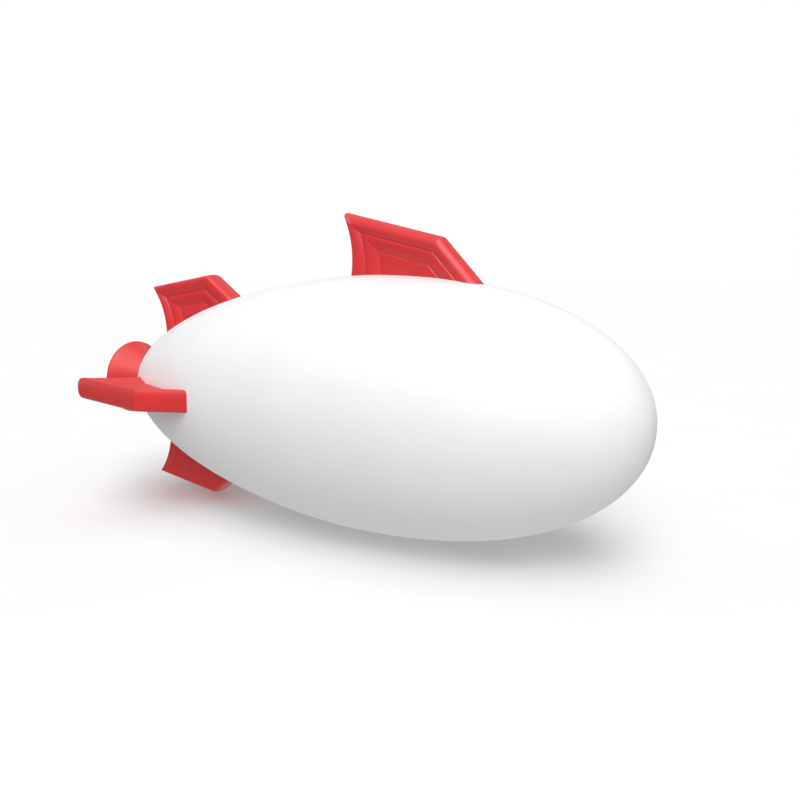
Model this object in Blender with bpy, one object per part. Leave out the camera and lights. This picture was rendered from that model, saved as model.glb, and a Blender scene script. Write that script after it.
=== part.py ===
"""Inflatable spaceship balloon: an egg-shaped envelope, five padded fins and a flared tail nozzle.

Metres, +Z up. The nose points along +X and the origin is at mid-length on the envelope's axis.
The envelope is a 10 mm shell of lengthwise gores between a nose cap and a tail cap. The fins
and the nozzle are padded solids whose roots are cut to the envelope. An inflation valve and
three tether rings are on the belly.
"""
import bmesh
import bpy
from math import asin, atan, cos, hypot, pi, radians, sin
from mathutils import Vector

# Envelope
LENGTH = 5.0                # nose to tail
RADIUS = 1.037              # at the widest place
WIDEST_X = 0.237            # the widest place, ahead of mid-length
NOSE_POWERS = (2.408, 2.063)    # lengthwise and crosswise powers of the nose half's curve
TAIL_POWERS = (1.637, 1.933)
SHELL = 0.010               # wall thickness
GAP = 0.0003                # between pieces that touch
GORES = 12
GORE_STEPS = 3              # flat facets across a gore
NOSE_STATIONS = 9           # sections ahead of the widest place
TAIL_STATIONS = 10
NOSE_CAP_X = 2.43
TAIL_CAP_X = -2.35
CAP_STATIONS = 3

# Fins
FIN_THICKNESS = 0.19
FIN_ROUND = 0.045           # rounding of the slab's edges
FIN_ROOT_DEPTH = 0.16       # how far the uncut outline runs below the root corners
REAR_ARC_STEPS = 6
# step's distance in from the outline, its depth below the face
FIN_STEPS = ((0.145, 0.022), (0.275, 0.044))

# Corners of a fin's outline, each as (x, distance from the envelope's axis), and how far the hollow
# of the curved rear edge is from its chord
DORSAL = dict(root_rear=(-0.002, 1.022), tip_rear=(-0.072, 1.53), tip_front=(0.84, 1.325),
              root_front=(1.18, 0.975), rear_hollow=0.042)
UPRIGHT = dict(root_rear=(-2.182, 0.47), tip_rear=(-2.345, 0.90), tip_front=(-1.60, 1.018),
               root_front=(-1.33, 0.83), rear_hollow=0.042)
LEVEL = dict(root_rear=(-2.15, 0.47), tip_rear=(-2.55, 0.82), tip_front=(-1.515, 1.052),
             root_front=(-1.05, 0.845), rear_hollow=0.045)
# name, outline, angle about the envelope's axis from +Y towards +Z in degrees
FINS = (
    ("dorsal_fin", DORSAL, 90),
    ("tail_fin_upper", UPRIGHT, 90),
    ("tail_fin_lower", UPRIGHT, 270),
    ("tail_fin_left", LEVEL, 0),
    ("tail_fin_right", LEVEL, 180),
)

# Nozzle
NOZZLE_RIM_X = -2.745
NOZZLE_RIM_RADIUS = 0.351
NOZZLE_NECK_X = -2.43       # where the flare leaves the envelope
NOZZLE_NECK_RADIUS = 0.205
NOZZLE_ROUND = 0.022        # rounding of the rim
NOZZLE_DISH_RADIUS = 0.285
NOZZLE_DISH_DEPTH = 0.040
END_PANEL_THICKNESS = 0.012
TURN_STEPS = 36
PHASE = pi / TURN_STEPS     # puts the facets of turned pieces in line with the gores' facets

# Belly fittings
INSIDE = 0.03               # how far a fitting's uncut shape reaches into the envelope
# a tether patch, its webbing keeper and its ring are at each of these places
TETHERS = (("front", 1.40), ("middle", 0.30), ("rear", -0.80))
PATCH_RADIUS = 0.075
PATCH_PROUD = 0.007         # how far the patch's face stands off the envelope's curve
KEEPER_BASE = 0.0215        # radius of the keeper's round base, in the middle of the patch
KEEPER_SIZE = (0.012, 0.022, 0.014)
KEEPER_BORE = 0.0030
RING_WIRE = 0.0025          # wire radius
RING_HALF_WIDTH = 0.0175    # to the wire's centre
RING_SIDE = 0.008           # from the bar down to the bow's centre
RING_CORNER = 0.004         # radius of the bends at the bar's ends
RING_CORNER_STEPS = 3
RING_ARC_STEPS = 8

VALVE_X = -0.25
FLANGE_RADIUS = 0.048
FLANGE_PROUD = 0.006
NECK_RADIUS = 0.026
NECK_HEIGHT = 0.014
PORT_RADIUS = 0.018
PORT_DEPTH = 0.014
CAP_PLAY = 0.0010           # between cap and neck, so that the cap tips off its neck freely
CAP_WALL = 0.003
CAP_TOP = 0.004
HINGE_RADIUS = 0.0040       # the cap's knuckle
HINGE_PIN = 0.0015
HINGE_OUT = 0.036           # the hinge axis, behind the valve's centre
HINGE_WIDTH = 0.012
EAR_WIDTH = 0.004

COLLECTION = "inflatable_spaceship_balloon"


def clear_scene():
    for obj in list(bpy.data.objects):
        bpy.data.objects.remove(obj, do_unlink=True)


def collection(name):
    group = bpy.data.collections.new(name)
    bpy.context.scene.collection.children.link(group)
    return group


def material(name, color, roughness, metallic=0.0):
    mat = bpy.data.materials.new(name)
    mat.use_nodes = True
    shader = mat.node_tree.nodes["Principled BSDF"]
    shader.inputs["Base Color"].default_value = (*color, 1.0)
    shader.inputs["Roughness"].default_value = roughness
    shader.inputs["Metallic"].default_value = metallic
    mat.diffuse_color = (*color, 1.0)
    return mat


def add_object(name, data, mat, group):
    obj = bpy.data.objects.new(name, data)
    group.objects.link(obj)
    if mat is not None and not data.materials:
        data.materials.append(mat)
    return obj


def add_cutter(name, data):
    obj = add_object(name, data, None, CUTTERS)
    obj.hide_render = True
    obj.display_type = "WIRE"
    return obj


def mesh_from(bm, name):
    bmesh.ops.recalc_face_normals(bm, faces=bm.faces)
    mesh = bpy.data.meshes.new(name)
    bm.to_mesh(mesh)
    bm.free()
    return mesh


def cut(obj, cutter, operation="DIFFERENCE"):
    boolean = obj.modifiers.new(cutter.name, "BOOLEAN")
    boolean.operation = operation
    boolean.object = cutter
    boolean.solver = "EXACT"


def shade_round(mesh, angle=radians(35)):
    mesh.shade_smooth()
    mesh.set_sharp_from_angle(angle=angle)


# The envelope's curve

def hull_radius(x):
    """The envelope's radius at a place along its axis."""
    ahead = x > WIDEST_X
    reach = LENGTH / 2 - WIDEST_X if ahead else LENGTH / 2 + WIDEST_X
    along, across = NOSE_POWERS if ahead else TAIL_POWERS
    share = min(abs(x - WIDEST_X) / reach, 1.0)
    return RADIUS * (1 - share ** along) ** (1 / across)


def hull_slope(x):
    step = 1e-4
    return (hull_radius(x + step) - hull_radius(x - step)) / (2 * step)


def wall_points(x, along=0.0):
    """The outer and the inner point of the wall at x, moved along the curve towards its near end."""
    slope = hull_slope(x)
    size = hypot(1, slope)
    end = 1 if x > 0 else -1
    tangent = Vector((end / size, end * slope / size))
    inward = Vector((slope / size, -1 / size))
    outer = Vector((x, hull_radius(x))) + tangent * along
    return outer, outer + inward * SHELL


def stations(start, end, count):
    """Places from start to end that lie closer together towards the envelope's ends."""
    reach = {True: LENGTH / 2 - WIDEST_X, False: LENGTH / 2 + WIDEST_X}[end > WIDEST_X]
    low, high = (asin((x - WIDEST_X) / reach) for x in (start, end))
    return [WIDEST_X + reach * sin(low + (high - low) * k / count) for k in range(count + 1)]


GORE_STATIONS = (stations(TAIL_CAP_X, WIDEST_X - 1e-9, TAIL_STATIONS)
                 + stations(WIDEST_X, NOSE_CAP_X, NOSE_STATIONS)[1:])


# Shapes

def turned(name, profile):
    """A solid turned about X from (x, radius) points that start and end on the axis."""
    bm = bmesh.new()
    verts = [bm.verts.new((x, radius * cos(PHASE), radius * sin(PHASE))) for x, radius in profile]
    chain = [bm.edges.new(pair) for pair in zip(verts, verts[1:])]
    bmesh.ops.spin(bm, geom=verts + chain, cent=(0, 0, 0), axis=(1, 0, 0), dvec=(0, 0, 0),
                   angle=2 * pi, steps=TURN_STEPS, use_merge=False, use_duplicate=False)
    bmesh.ops.remove_doubles(bm, verts=bm.verts, dist=1e-5)
    return mesh_from(bm, name)


def crossing(first, second):
    """Where two lines cross, each given as a point and a direction."""
    (p, d), (q, e) = first, second
    return p + d * ((q - p).cross(e) / d.cross(e))


def fin_outline(fin, distance=0.0):
    """A fin's outline, or the line that far in from it, from the root's rear round to its front."""
    corners = [Vector(fin[key]) for key in ("root_rear", "tip_rear", "tip_front", "root_front")]
    runs = [(b - a).normalized() for a, b in zip(corners, corners[1:])]
    rear, top, front = ((a + Vector((run.y, -run.x)) * distance, run) for a, run in zip(corners, runs))
    root_rear, tip_rear, tip_front = rear[0], crossing(rear, top), crossing(top, front)
    chord = tip_rear - root_rear
    hollow = fin["rear_hollow"] * (chord.length / (corners[1] - corners[0]).length) ** 2
    ahead = Vector((runs[0].y, -runs[0].x))
    arc = [root_rear + chord * t + ahead * hollow * 4 * t * (1 - t)
           for t in (k / REAR_ARC_STEPS for k in range(REAR_ARC_STEPS + 1))]
    floor = (Vector((0.0, corners[3].y - FIN_ROOT_DEPTH)), Vector((1.0, 0.0)))
    rear_foot = root_rear - Vector((0.0, FIN_ROOT_DEPTH))
    return [rear_foot] + arc + [tip_front, crossing(front, floor)]


def slab(name, points, half_thickness, rounding=0.0):
    """A flat outline in the XY plane, made as thick as asked along Z, as a mesh."""
    curve = bpy.data.curves.new(name, "CURVE")
    curve.dimensions = "2D"
    curve.fill_mode = "BOTH"
    curve.extrude = half_thickness - rounding
    if rounding:
        curve.bevel_depth = rounding
        curve.bevel_resolution = 1
        curve.offset = -rounding
    spline = curve.splines.new("POLY")
    spline.points.add(len(points) - 1)
    for target, point in zip(spline.points, points):
        target.co = (point.x, point.y, 0.0, 1.0)
    spline.use_cyclic_u = True
    guide = bpy.data.objects.new(name, curve)
    CUTTERS.objects.link(guide)
    bpy.context.view_layer.update()
    mesh = bpy.data.meshes.new_from_object(guide.evaluated_get(bpy.context.evaluated_depsgraph_get()))
    bpy.data.objects.remove(guide, do_unlink=True)
    bm = bmesh.new()
    bm.from_mesh(mesh)
    bmesh.ops.remove_doubles(bm, verts=bm.verts, dist=1e-5)
    mesh = mesh_from(bm, name)
    mesh.shade_flat()
    return mesh


def cylinder(name, radius, low, high, sides, centre=(0.0, 0.0)):
    """A cylinder along Z between two heights, as a mesh."""
    bm = bmesh.new()
    made = bmesh.ops.create_cone(bm, cap_ends=True, segments=sides, radius1=radius, radius2=radius,
                                 depth=high - low)
    bmesh.ops.translate(bm, verts=made["verts"], vec=(*centre, (low + high) / 2))
    return mesh_from(bm, name)


def box(name, low, high):
    bm = bmesh.new()
    made = bmesh.ops.create_cube(bm, size=1.0)
    size = Vector(high) - Vector(low)
    bmesh.ops.scale(bm, verts=made["verts"], vec=size)
    bmesh.ops.translate(bm, verts=made["verts"], vec=(Vector(high) + Vector(low)) / 2)
    return mesh_from(bm, name)


# Envelope

def hull_cutter():
    """The envelope's outside grown by the gap, which cuts the roots of what sits on it."""
    tail = stations(-LENGTH / 2 + 1e-6, TAIL_CAP_X, CAP_STATIONS)
    nose = stations(NOSE_CAP_X, LENGTH / 2 - 1e-6, CAP_STATIONS)
    places = tail[1:-1] + GORE_STATIONS + nose[1:-1]
    profile = [(-LENGTH / 2 - GAP, 0.0)]
    profile += [(x + hull_slope(x) / hypot(1, hull_slope(x)) * -GAP,
                 hull_radius(x) + GAP / hypot(1, hull_slope(x))) for x in places]
    profile += [(LENGTH / 2 + GAP, 0.0)]
    return add_cutter("envelope_cutter", turned("envelope_cutter", profile))


def gore_mesh():
    """One gore about the +Y direction: its wall's section turned through the gore's angle."""
    half_angle = pi / GORES
    seam_shift = GAP / 2 / sin(half_angle)
    pairs = [wall_points(x) for x in GORE_STATIONS]
    bm = bmesh.new()
    outer, inner = (
        [bm.verts.new((p.x, radius * cos(half_angle), -radius * sin(half_angle)))
         for p, radius in ((p, p.y - seam_shift) for p in row)]
        for row in zip(*pairs))
    for k in range(len(pairs) - 1):
        bm.faces.new((outer[k], outer[k + 1], inner[k + 1], inner[k]))
    bmesh.ops.spin(bm, geom=bm.verts[:] + bm.edges[:] + bm.faces[:], cent=(0, 0, 0), axis=(1, 0, 0),
                   dvec=(0, 0, 0), angle=2 * half_angle, steps=GORE_STEPS, use_duplicate=False)
    bmesh.ops.translate(bm, verts=bm.verts, vec=(0, seam_shift, 0))
    mesh = mesh_from(bm, "envelope_gore")
    shade_round(mesh)
    return mesh


def end_cap(name, rim_x, tip_x):
    """A dished cap that closes one end of the gores."""
    places = stations(rim_x, tip_x - 1e-6 * (1 if tip_x > 0 else -1), CAP_STATIONS)[:-1]
    pairs = [wall_points(x, along=GAP) for x in places]
    inward = -1 if tip_x > 0 else 1
    profile = [(tip_x, 0.0)] + [tuple(outer) for outer, _ in reversed(pairs)]
    profile += [tuple(inner) for _, inner in pairs] + [(tip_x + inward * SHELL, 0.0)]
    mesh = turned(name, profile)
    shade_round(mesh)
    return add_object(name, mesh, WHITE, PARTS)


def build_envelope():
    mesh = gore_mesh()
    for k in range(GORES):
        gore = add_object(f"envelope_gore_{k + 1:02d}", mesh, WHITE, PARTS)
        gore.rotation_euler.x = 2 * pi * k / GORES
    end_cap("nose_cap", NOSE_CAP_X, LENGTH / 2)
    end_cap("tail_cap", TAIL_CAP_X, -LENGTH / 2)


# Fins

def build_fin(name, outline, angle, hull):
    fin = add_object(name, slab(name, fin_outline(outline), FIN_THICKNESS / 2, FIN_ROUND), RED, PARTS)
    fin.rotation_euler.x = radians(angle)
    for number, (distance, depth) in enumerate(FIN_STEPS, 1):
        recess = fin_outline(outline, distance)
        for side in (-1, 1):
            cutter_name = f"{name}_step_{number}_{'front' if side > 0 else 'back'}"
            pocket = add_cutter(cutter_name, slab(cutter_name, recess, FIN_THICKNESS / 2))
            pocket.rotation_euler.x = radians(angle)
            face = Vector((0.0, -sin(radians(angle)), cos(radians(angle)))) * side
            pocket.location = face * (FIN_THICKNESS - depth)
            cut(fin, pocket)
    cut(fin, hull)


# Nozzle

def build_nozzle(hull):
    rim, dish_x = NOZZLE_RIM_X, NOZZLE_RIM_X + NOZZLE_DISH_DEPTH
    flare = (NOZZLE_RIM_RADIUS - NOZZLE_NECK_RADIUS) / (NOZZLE_NECK_X - rim)
    front_x = TAIL_CAP_X
    front_radius = NOZZLE_NECK_RADIUS - flare * (front_x - NOZZLE_NECK_X)
    soft = NOZZLE_ROUND
    profile = [
        (dish_x, 0.0),
        (dish_x, NOZZLE_DISH_RADIUS),
        (rim + soft * 0.3, NOZZLE_DISH_RADIUS + soft),
        (rim, NOZZLE_DISH_RADIUS + 1.8 * soft),
        (rim, NOZZLE_RIM_RADIUS - soft * 0.7),
        (rim + soft * 0.5, NOZZLE_RIM_RADIUS),
        (rim + soft * 1.4, NOZZLE_RIM_RADIUS - flare * soft * 0.4),
        (front_x, front_radius),
        (front_x, 0.0),
    ]
    nozzle = add_object("tail_nozzle", turned("tail_nozzle", profile), RED, PARTS)
    cut(nozzle, hull)
    panel_radius = NOZZLE_DISH_RADIUS - 0.010
    back = dish_x - GAP
    profile = [(back, 0.0), (back, panel_radius), (back - END_PANEL_THICKNESS * 0.5, panel_radius),
               (back - END_PANEL_THICKNESS, panel_radius * 0.85), (back - END_PANEL_THICKNESS, 0.0)]
    add_object("nozzle_end_panel", turned("nozzle_end_panel", profile), RED, PARTS)


# Belly fittings

def belly_seat(name, x):
    """An empty on the belly's centre line whose -Z axis is the envelope's outward normal."""
    seat = bpy.data.objects.new(name, None)
    seat.empty_display_size = 0.05
    PARTS.objects.link(seat)
    seat.location = (x, 0.0, -hull_radius(x))
    seat.rotation_euler.y = atan(hull_slope(x))
    return seat


def ring_mesh():
    """A D-ring in the YZ plane, its straight bar along Y through the origin."""
    width, bend = RING_HALF_WIDTH, RING_CORNER
    corner = [(width - bend + bend * sin(a), -bend + bend * cos(a))
              for a in (pi / 2 * k / RING_CORNER_STEPS for k in range(RING_CORNER_STEPS + 1))]
    points = corner + [(width * cos(a), -RING_SIDE - width * sin(a))
                       for a in (pi * k / RING_ARC_STEPS for k in range(RING_ARC_STEPS + 1))]
    points += [(-y, z) for y, z in reversed(corner)]
    curve = bpy.data.curves.new("tether_ring", "CURVE")
    curve.dimensions = "3D"
    curve.bevel_depth = RING_WIRE
    curve.bevel_resolution = 2
    spline = curve.splines.new("POLY")
    spline.points.add(len(points) - 1)
    for target, (y, z) in zip(spline.points, points):
        target.co = (0.0, y, z, 1.0)
    spline.use_cyclic_u = True
    guide = bpy.data.objects.new("tether_ring_guide", curve)
    CUTTERS.objects.link(guide)
    bpy.context.view_layer.update()
    mesh = bpy.data.meshes.new_from_object(guide.evaluated_get(bpy.context.evaluated_depsgraph_get()))
    bpy.data.objects.remove(guide, do_unlink=True)
    shade_round(mesh)
    return mesh


def build_tether(place, x, ring, hull):
    seat = belly_seat(f"tether_seat_{place}", x)
    patch_disc = cylinder("tether_patch", PATCH_RADIUS, -PATCH_PROUD, INSIDE, 32)
    patch = add_object(f"tether_patch_{place}", patch_disc, PATCH_WHITE, PARTS)
    window = add_cutter(f"tether_window_{place}", cylinder("tether_window", KEEPER_BASE + GAP, -INSIDE,
                                                           2 * INSIDE, 24))

    length, width, height = KEEPER_SIZE
    keeper_disc = cylinder("tether_keeper", KEEPER_BASE, -PATCH_PROUD, INSIDE, 24)
    keeper = add_object(f"tether_keeper_{place}", keeper_disc, WEBBING, PARTS)
    low, high = -PATCH_PROUD - height, -PATCH_PROUD / 2
    loop = add_cutter(f"keeper_loop_{place}", box("keeper_loop", (-length / 2, -width / 2, low),
                                                  (length / 2, width / 2, high)))
    bar_z = -PATCH_PROUD - height / 2
    bore = add_cutter(f"keeper_bore_{place}", cylinder("keeper_bore", KEEPER_BORE, -width, width, 16))
    bore.location.z = bar_z
    bore.rotation_euler.x = pi / 2

    bow = add_object(f"tether_ring_{place}", ring, STEEL, PARTS)
    bow.location.z = bar_z
    bow.rotation_euler.y = -seat.rotation_euler.y
    for piece in (patch, window, keeper, loop, bore, bow):
        piece.parent = seat
    cut(patch, window)
    cut(patch, hull)
    cut(keeper, loop, "UNION")
    cut(keeper, bore)
    cut(keeper, hull)


def build_valve(hull):
    seat = belly_seat("valve_seat", VALVE_X)
    flange = cylinder("valve_base", FLANGE_RADIUS, -FLANGE_PROUD, INSIDE, 32)
    base = add_object("valve_base", flange, PATCH_WHITE, PARTS)
    base.parent = seat
    neck_end = -FLANGE_PROUD - NECK_HEIGHT
    neck = add_cutter("valve_neck", cylinder("valve_neck", NECK_RADIUS, neck_end, -FLANGE_PROUD / 2, 32))
    hinge_z = -FLANGE_PROUD - HINGE_RADIUS - 0.001
    ear_low = hinge_z - HINGE_RADIUS
    joins = [neck]
    for side in (-1, 1):
        near = side * (HINGE_WIDTH / 2 + 0.0006)
        far = near + side * EAR_WIDTH
        ear = box("valve_ear", (-HINGE_OUT - HINGE_RADIUS, min(near, far), ear_low),
                  (-HINGE_OUT + HINGE_RADIUS, max(near, far), -FLANGE_PROUD / 2))
        joins.append(add_cutter(f"valve_ear_{'left' if side > 0 else 'right'}", ear))
    pin_half = (HINGE_WIDTH + EAR_WIDTH) / 2
    pin = add_cutter("valve_hinge_pin", cylinder("valve_hinge_pin", HINGE_PIN, -pin_half, pin_half, 16))
    pin.location = (-HINGE_OUT, 0.0, hinge_z)
    pin.rotation_euler.x = pi / 2
    joins.append(pin)
    for piece in joins:
        piece.parent = seat
        cut(base, piece, "UNION")
    port = add_cutter("valve_port", cylinder("valve_port", PORT_RADIUS, neck_end - 0.01,
                                             neck_end + PORT_DEPTH, 24))
    port.parent = seat
    cut(base, port)
    cut(base, hull)

    cap_radius = NECK_RADIUS + CAP_PLAY + CAP_WALL
    cap_low = neck_end - GAP - CAP_TOP
    cap_high = -FLANGE_PROUD - 0.003
    cap = add_object("valve_cap", cylinder("valve_cap", cap_radius, cap_low, cap_high, 32), CAP_WHITE, PARTS)
    cap.parent = seat
    hollow = add_cutter("valve_cap_hollow", cylinder("valve_cap_hollow", NECK_RADIUS + CAP_PLAY,
                                                     neck_end - GAP, cap_high + 0.01, 32))
    hollow.parent = seat
    tab = add_cutter("valve_cap_tab", box("valve_cap_tab", (-HINGE_OUT, -HINGE_WIDTH / 2, hinge_z - 0.002),
                                          (-NECK_RADIUS - CAP_WALL / 2, HINGE_WIDTH / 2, hinge_z + 0.002)))
    tab.parent = seat
    knuckle = add_cutter("valve_cap_knuckle", cylinder("valve_cap_knuckle", HINGE_RADIUS, -HINGE_WIDTH / 2,
                                                       HINGE_WIDTH / 2, 16))
    knuckle.parent = seat
    knuckle.location = (-HINGE_OUT, 0.0, hinge_z)
    knuckle.rotation_euler.x = pi / 2
    cut(cap, tab, "UNION")
    cut(cap, knuckle, "UNION")
    cut(cap, hollow)
    bore = add_cutter("valve_cap_bore", cylinder("valve_cap_bore", HINGE_PIN + GAP, -HINGE_WIDTH,
                                                 HINGE_WIDTH, 16))
    bore.parent = seat
    bore.location = knuckle.location
    bore.rotation_euler.x = pi / 2
    cut(cap, bore)


clear_scene()
PARTS = collection(COLLECTION)
CUTTERS = collection(COLLECTION + "_cutters")

WHITE = material("envelope_white", (0.86, 0.86, 0.87), 0.45)
RED = material("fin_red", (0.72, 0.035, 0.045), 0.5)
PATCH_WHITE = material("patch_white", (0.80, 0.80, 0.81), 0.5)
CAP_WHITE = material("valve_cap_white", (0.74, 0.74, 0.75), 0.4)
WEBBING = material("keeper_webbing", (0.70, 0.70, 0.70), 0.9)
STEEL = material("ring_steel", (0.60, 0.60, 0.62), 0.3, 1.0)

envelope_cutter = hull_cutter()
build_envelope()
for fin_name, fin_shape, fin_angle in FINS:
    build_fin(fin_name, fin_shape, fin_angle, envelope_cutter)
build_nozzle(envelope_cutter)
shared_ring = ring_mesh()
for tether_place, tether_x in TETHERS:
    build_tether(tether_place, tether_x, shared_ring, envelope_cutter)
build_valve(envelope_cutter)
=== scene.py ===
"""The looks of an inflatable spaceship balloon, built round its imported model.

Metres, +Z up. The nose points along +X and the origin is at mid-length on the envelope's axis, as
in the model. The envelope's gores and caps, the padded fins and the nozzle are remade here as
smooth skins over the model's faceted solids, with the welds, creases, webbing and stitches that it
leaves out.
"""

from math import asin, atan, ceil, cos, exp, hypot, pi, radians, sin, sqrt

import bmesh
import bpy
from mathutils import Matrix, Vector, noise


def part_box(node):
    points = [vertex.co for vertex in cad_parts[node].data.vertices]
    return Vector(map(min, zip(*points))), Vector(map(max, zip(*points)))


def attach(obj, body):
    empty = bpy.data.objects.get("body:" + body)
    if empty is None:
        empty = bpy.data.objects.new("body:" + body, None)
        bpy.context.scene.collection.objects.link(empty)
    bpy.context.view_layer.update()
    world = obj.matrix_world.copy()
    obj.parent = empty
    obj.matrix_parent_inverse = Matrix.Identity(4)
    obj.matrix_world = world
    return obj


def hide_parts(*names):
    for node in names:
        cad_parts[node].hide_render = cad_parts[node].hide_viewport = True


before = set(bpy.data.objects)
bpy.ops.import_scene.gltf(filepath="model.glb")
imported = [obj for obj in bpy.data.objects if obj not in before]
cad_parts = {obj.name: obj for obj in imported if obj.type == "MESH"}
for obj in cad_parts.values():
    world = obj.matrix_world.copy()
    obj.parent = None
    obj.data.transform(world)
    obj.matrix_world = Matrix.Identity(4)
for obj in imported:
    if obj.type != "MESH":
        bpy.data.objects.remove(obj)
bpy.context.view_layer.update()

LOW, HIGH = 0, 1
X, Y, Z = 0, 1, 2


def side_of(node_name, end, axis):
    """Where one side of a node's box lies, to a tenth of a millimetre."""
    return round(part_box(node_name)[end][axis], 4)


def middle_of(node_name):
    """Where a node's middle lies along the balloon, to the millimetre."""
    return round((side_of(node_name, LOW, X) + side_of(node_name, HIGH, X)) / 2, 3)


def evenly(start, end, count):
    """Evenly spaced values from start to end."""
    return [start + (end - start) * k / count for k in range(count + 1)]


# Envelope, as in the model
LENGTH = side_of("nose_cap", HIGH, X) - side_of("tail_cap", LOW, X)
RADIUS = 1.037
WIDEST_X = 0.237
NOSE_POWERS = (2.408, 2.063)
TAIL_POWERS = (1.637, 1.933)
SHELL = 0.01
GAP = 0.0003
GORES = sum(name.startswith("envelope_gore_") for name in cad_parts)
NOSE_CAP_X = side_of("envelope_gore_01", HIGH, X)
TAIL_CAP_X = side_of("envelope_gore_01", LOW, X)

# Fins, as in the model: each outline's corners as (along the balloon, out from its axis)
FIN_THICKNESS = 2 * side_of("dorsal_fin", HIGH, Y)
# edges: depth and power of the rounded outer and front edges; 2 is an ellipse and more is squarer
# insets: how far in the creases lie along the rear, the top and the front, 1 as in CREASES
DORSAL = dict(root_rear=(-0.002, 1.022),
              tip_rear=(side_of("dorsal_fin", LOW, X), side_of("dorsal_fin", HIGH, Z)),
              tip_front=(0.84, 1.325), root_front=(1.18, 0.975),
              rear_hollow=0.042, edges=(0.085, 2.1), insets=(1.18, 0.9, 0.88))
UPRIGHT = dict(root_rear=(-2.182, 0.47), tip_rear=(side_of("tail_fin_upper", LOW, X), 0.9),
               tip_front=(-1.6, side_of("tail_fin_upper", HIGH, Z)), root_front=(-1.33, 0.83),
               rear_hollow=0.042, edges=(0.04, 2.8), insets=(1.0, 0.92, 1.0))
LEVEL = dict(root_rear=(-2.15, 0.47), tip_rear=(side_of("tail_fin_left", LOW, X), 0.82),
             tip_front=(-1.515, side_of("tail_fin_left", HIGH, Y)), root_front=(-1.05, 0.845),
             rear_hollow=0.045, edges=(0.034, 3.0), insets=(1.0, 1.0, 1.0))
# node, outline, angle about the envelope's axis from +Y towards +Z in degrees
FINS = (
    ("dorsal_fin", DORSAL, 90),
    ("tail_fin_upper", UPRIGHT, 90),
    ("tail_fin_lower", UPRIGHT, 270),
    ("tail_fin_left", LEVEL, 0),
    ("tail_fin_right", LEVEL, 180),
)

# Nozzle, as in the model
RIM_X = side_of("tail_nozzle", LOW, X)
RIM_RADIUS = 0.351
NECK_X = -2.43
NECK_RADIUS = 0.205
RIM_ROUND = 0.022
DISH_RADIUS = 0.285
DISH_DEPTH = 0.04
PANEL_RADIUS = 0.275
PANEL_THICKNESS = 0.012

# Nozzle, its soft form
RIM_START = 62  # where the rolled rim leaves the cone, in degrees from the axis
LIP_ROUND = 0.8 * RIM_ROUND
CONE_PUFF = 0.004
DISH_FILLET = ((0.006, 0.0), (0.002, 0.002), (0.0, 0.006))
PANEL_ROUND = 0.005
PANEL_PUFF = 0.01
PANEL_WELD = (0.235, 0.006, 0.0012)  # radius, half width and height

# Belly fittings, as in the model
TETHERS = ("front", "middle", "rear")
PATCH_RADIUS = side_of("tether_patch_middle", HIGH, Y)
PATCH_PROUD = 0.007
KEEPER_BASE = side_of("tether_keeper_middle", HIGH, Y)
BAR_DROP = 0.014  # the ring's bar, below the envelope's curve
RING_WIRE = 0.0025
RING_HALF = 0.0175
RING_SIDE = 0.008
RING_CORNER = 0.004
VALVE_X = middle_of("valve_base")
FLANGE_RADIUS = side_of("valve_base", HIGH, Y)
FLANGE_PROUD = 0.006
TUBE_RADIUS = 0.026
NECK_HEIGHT = 0.014
PORT_RADIUS = 0.018
PORT_DEPTH = 0.014
CAP_PLAY = 0.001
CAP_WALL = 0.003
CAP_TOP = 0.004
HINGE_RADIUS = 0.004
HINGE_PIN = 0.0015
HINGE_OUT = 0.036
HINGE_WIDTH = 0.012
EAR_WIDTH = 0.004
# heights in the valve's own frame, whose -Z axis points out of the envelope
FACE_Z = -FLANGE_PROUD
NECK_END_Z = FACE_Z - NECK_HEIGHT
PORT_FLOOR_Z = NECK_END_Z + PORT_DEPTH
HINGE_Z = FACE_Z - HINGE_RADIUS - 0.001

# Belly fittings, what the model leaves out
SEAT_DEPTH = 0.004  # how far the fittings reach into the envelope
PATCH_ROUND = 0.0035
PATCH_EYE_ROUND = 0.0013
PATCH_RINGS = (0.032, 0.064)
PATCH_PRESS = (0.0013, 0.0008)  # half width and depth of a pressed ring
KEEPER_ROUND = 0.0012
KEEPER_STRAP = 0.0015
KEEPER_WIDTH = 0.022
STITCH_ROWS = 7
STITCH_RADIUS = 0.00035
FLANGE_ROUND = 0.002
FLANGE_PRESS = (0.0425, 0.001, 0.0006)  # radius, half width and depth
THREAD_DEPTH = 0.0004
SOFT = 0.001  # rounding of the valve's small edges
FLAP_LIFT = 0.0026  # how far the flap stands off the port's floor
EAR_PLAY = 0.0006
CAP_ROUND = 0.0018
CAP_RIBS = 36
CAP_RIB_DEPTH = 0.0007

# Fineness of the skins
GORE_COLUMNS = 16
TAIL_ROWS = 66
NOSE_ROWS = 54
CAP_ROWS = 12
TURN_STEPS = 192
RING_TAPE_STEPS = 6
CONE_STEPS = 32
NOZZLE_STEPS = 144
FITTING_STEPS = 96
ROOT_STEP = 0.02
HALVINGS = 40

# Welds of the envelope
TAPE_HALF = 0.015
TAPE_PROUD = 0.0003
TAPE_SUNK = 0.0004  # how far a tape's edges reach into the skin
TAPE_UNDER = 4 * TAPE_SUNK  # how far its underside does
VALLEY_DEPTH = 0.0003  # the skin is drawn in along each weld
VALLEY_WIDTH = 0.035
VALLEY_UNEVEN = (0.45, 9.0, 14.0)  # share, and how often along and across in each metre
ROOT_MARGIN = 0.016  # how far a fin's root patch shows round the fin
ROOT_CORNER = 0.03
NOSE_WELD_WIDER = 1.2  # the nose cap's weld is that much wider and twice as proud
TAPE_SHARP = 25  # keeps a tape's thin edge from tinting its flat face

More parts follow.
